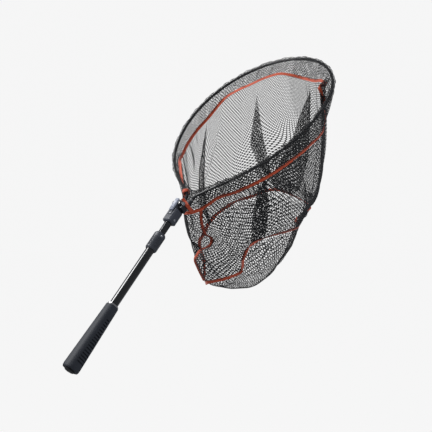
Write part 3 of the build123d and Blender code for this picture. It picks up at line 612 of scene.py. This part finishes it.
def ribbon(name, line, down, around=True, width=TAPE_WIDTH, thick=TAPE_THICK):
    """Tape along a line: its width follows down, with raised selvedges and small cross ribs."""
    count = len(line)
    step = np.roll(line, -1, 0) - np.roll(line, 1, 0) if around else np.gradient(line, axis=0)
    step /= np.linalg.norm(step, axis=1, keepdims=True)
    down = down - step * (down * step).sum(1, keepdims=True)
    down /= np.linalg.norm(down, axis=1, keepdims=True)
    out = np.cross(step, down)
    outline = [
        (-0.5, 0.3), (-0.47, 0.5), (-0.38, 0.44), (0, 0.40), (0.38, 0.44), (0.47, 0.5), (0.5, 0.3),
        (0.5, -0.3), (0.47, -0.5), (0.38, -0.44), (0, -0.40), (-0.38, -0.44), (-0.47, -0.5), (-0.5, -0.3)]
    rib = 1 + 0.12 * (np.arange(count) % 2)[:, None]
    points = np.stack([
        line + down * a * width + out * b * thick * rib for a, b in outline], axis=1)
    sides = len(outline)
    index = np.arange(count * sides).reshape(count, sides)
    nxt = np.roll(index, -1, 0) if around else index[1:]
    here = index if around else index[:-1]
    quads = np.stack([here, np.roll(here, -1, 1), np.roll(nxt, -1, 1), nxt], axis=2).reshape(-1, 4)
    if not around:
        caps = []
        for ring, flip in ((index[0], True), (index[-1], False)):
            for k in range(sides // 2 - 1):
                face = [ring[k], ring[k + 1], ring[sides - 2 - k], ring[sides - 1 - k]]
                caps.append(face if flip else face[::-1])
        quads = np.concatenate([quads, np.array(caps)])
    piece = mesh_piece(name, points.reshape(-1, 3), quads, grosgrain, "head")
    piece.data.polygons.foreach_set("use_smooth", np.ones(len(piece.data.polygons), bool))
    reach = np.concatenate([[0], np.cumsum(np.linalg.norm(np.diff(line, axis=0), axis=1))])
    lay_uv(piece, np.tile([a * width for a, b in outline], count), np.repeat(reach, sides))
    return piece


def resample(line, step, around=True):
    """The same line with points a step apart."""
    path = np.concatenate([line, line[:1]]) if around else line
    reach = np.concatenate([[0], np.cumsum(np.linalg.norm(np.diff(path, axis=0), axis=1))])
    count = int(reach[-1] / step)
    want = np.linspace(0, reach[-1], count, endpoint=not around)
    return np.stack([np.interp(want, reach, path[:, c]) for c in range(3)], axis=1), want / reach[-1]


def tape_round(name, line, above, below):
    """Tape along a closed line of the net, lying in the netting that it joins."""
    path, _ = resample(line, RIB_PITCH)
    match = np.array([np.argmin(((line - p) ** 2).sum(1)) for p in path])
    down = (below - above)[match]
    kernel = np.ones(41) / 41
    down = np.stack([np.convolve(np.concatenate([down[-20:, c], down[:, c], down[:20, c]]), kernel, "valid")
                     for c in range(3)], axis=1)
    return ribbon(name, path, down)


wall_row = lambda row: ring_at(wall[:, row], np.arange(RING_STEPS) / RING_STEPS)
upper_tape = tape_round("upper_tape_woven", upper_line, rim, wall_row(4))
lower_tape = tape_round("lower_tape_woven", lower_line, wall_row(-5), lower_line)

# ---- Seam tape ----
# The same tape down the side seam of the wall, at the hub, crumpled by the slack above the floor.
seam_path, _ = resample(seam_line, RIB_PITCH, around=False)
kernel = np.ones(15) / 15
padded = np.concatenate([np.repeat(seam_path[:1], 7, 0), seam_path, np.repeat(seam_path[-1:], 7, 0)])
seam_path = np.stack([np.convolve(padded[:, c], kernel, "valid") for c in range(3)], axis=1)
sideways = np.tile(np.array([[0.45, -0.85, 0.0]]), (len(seam_path), 1))
seam_tape = ribbon("seam_tape_woven", seam_path, sideways, around=False)

# ---- Throat strap and end binding ----
# A short tape from the top of the right-hand socket down to the upper tape, and a turn of tape
# whipped round the left end of the casing, where the netting on it is gathered into a roll.
strap_ends = np.array([
    (-0.038, -0.010, -0.018), (-0.034, -0.0145, -0.026), (-0.034, -0.024, -0.036), (-0.024, -0.025, -0.047),
    (-0.012, -0.025, -0.059)])
strap_path, _ = resample(strap_ends + np.array(throat), RIB_PITCH, around=False)
strap_side = np.tile(np.array([[0.62, -0.62, 0.35]]), (len(strap_path), 1))
throat_strap = ribbon("throat_strap_woven", strap_path, strap_side, around=False, width=0.0098)


def binding(name):
    """Tape wound round the hoop and the gathered casing, pulled upright by the netting in it."""
    foot = hoop_origin + hoop_ahead * 0.0042 + Vector((0, 0.0270, 0))
    away = Vector((0.275, 0.495, 0.824)).normalized()
    first = away.orthogonal().normalized()
    second = away.cross(first)
    points, turns, sides = [], 64, 10
    profile = [(0.0, 0.0072), (0.0, 0.0098), (0.0012, 0.0107), (0.0045, 0.0103), (0.0085, 0.0109),
               (0.0098, 0.0100), (0.0098, 0.0072), (0.0060, 0.0066), (0.0035, 0.0066), (0.0010, 0.0068)]
    for k in range(turns):
        angle = 2 * math.pi * k / turns
        swell = 1 + 0.03 * math.sin(3 * angle) + 0.02 * (k % 2)
        spoke = first * math.cos(angle) + second * math.sin(angle)
        points += [foot + away * a + spoke * r * swell for a, r in profile]
    index = np.arange(turns * sides).reshape(turns, sides)
    nxt = np.roll(index, -1, 0)
    quads = np.stack([index, np.roll(index, -1, 1), np.roll(nxt, -1, 1), nxt], axis=2).reshape(-1, 4)
    piece = mesh_piece(name, np.array(points), quads, grosgrain, "head")
    place, turn = np.arange(sides) * TAPE_THICK, np.arange(turns) * RIB_PITCH
    lay_uv(piece, np.tile(place, turns), np.repeat(turn, sides))
    return piece


end_binding = binding("end_binding_whipped")

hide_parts("hoop_sleeve", "rim_band")
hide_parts("net_wall")
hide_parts("net_floor")
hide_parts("upper_tape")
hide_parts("lower_tape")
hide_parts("seam_tape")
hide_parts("throat_strap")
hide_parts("end_binding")

# ---- Stage, light and camera ----
# A pale seamless floor far below, a broad soft key from the upper left and a fill from the right.
scene = bpy.context.scene
scene.view_settings.view_transform = "Standard"
backdrop, shader = finish_named("backdrop_paper", Roughness=1.0, Specular_IOR_Level=0.0)
shader.inputs["Base Color"].default_value = (0.02, 0.02, 0.02, 1)
shader.inputs["Emission Color"].default_value = linear("#F5F5F5")
shader.inputs["Emission Strength"].default_value = 1.0
FLOOR_DROP, DOME = 1.1, 12.0
rings, spokes = 24, 48
dome = []
for a in range(rings + 1):
    tilt = math.pi * a / rings
    for b in range(spokes):
        turn = 2 * math.pi * b / spokes
        z = max(DOME * math.cos(tilt), -FLOOR_DROP)
        dome.append((DOME * math.sin(tilt) * math.cos(turn), DOME * math.sin(tilt) * math.sin(turn), z))
faces = []
for a in range(rings):
    for b in range(spokes):
        here, beside = a * spokes + b, a * spokes + (b + 1) % spokes
        faces.append((here, here + spokes, beside + spokes, beside))
mesh = bpy.data.meshes.new("backdrop")
mesh.from_pydata(dome, [], faces)
mesh.materials.append(backdrop)
stage = bpy.data.objects.new("backdrop", mesh)
scene.collection.objects.link(stage)
stage.visible_diffuse = stage.visible_glossy = stage.visible_transmission = stage.visible_shadow = False
world = bpy.data.worlds.new("studio")
world.use_nodes = True
world.node_tree.nodes["Background"].inputs["Color"].default_value = linear("#E9EDF5")
world.node_tree.nodes["Background"].inputs["Strength"].default_value = 0.32
scene.world = world

sight = Vector((0.7192, 0.6900, -0.0812))
right = Vector((0.6923, -0.7216, 0.0))
eye = throat + Vector((-1.748, -1.778, 0.134))


def soft_light(name, spot, size, power, tint="#FFFFFF"):
    lamp = bpy.data.lights.new(name, "AREA")
    lamp.shape, lamp.size, lamp.size_y = "RECTANGLE", size[0], size[1]
    lamp.energy = power
    lamp.color = linear(tint)[:3]
    obj = bpy.data.objects.new(name, lamp)
    scene.collection.objects.link(obj)
    obj.location = throat + Vector(spot)
    obj.rotation_euler = (throat - obj.location).to_track_quat("-Z", "Y").to_euler()
    return obj


soft_light("key", tuple(-1.6 * right + Vector((-0.3, 0.2, 1.7))), (1.0, 1.4), 75)
fill = soft_light("fill", tuple(1.8 * right - 1.0 * sight + Vector((0, 0, 0.7))), (1.2, 1.2), 18)
fill.visible_glossy = False  # it only lifts the shaded sides, and leaves no streak on the tubes

camera = bpy.data.cameras.new("camera")
camera.lens, camera.sensor_width = 75, 36
view = bpy.data.objects.new("camera", camera)
scene.collection.objects.link(view)
rise = right.cross(sight)
view.matrix_world = Matrix.Translation(eye) @ Matrix([right, rise, -sight]).transposed().to_4x4()
scene.camera = view
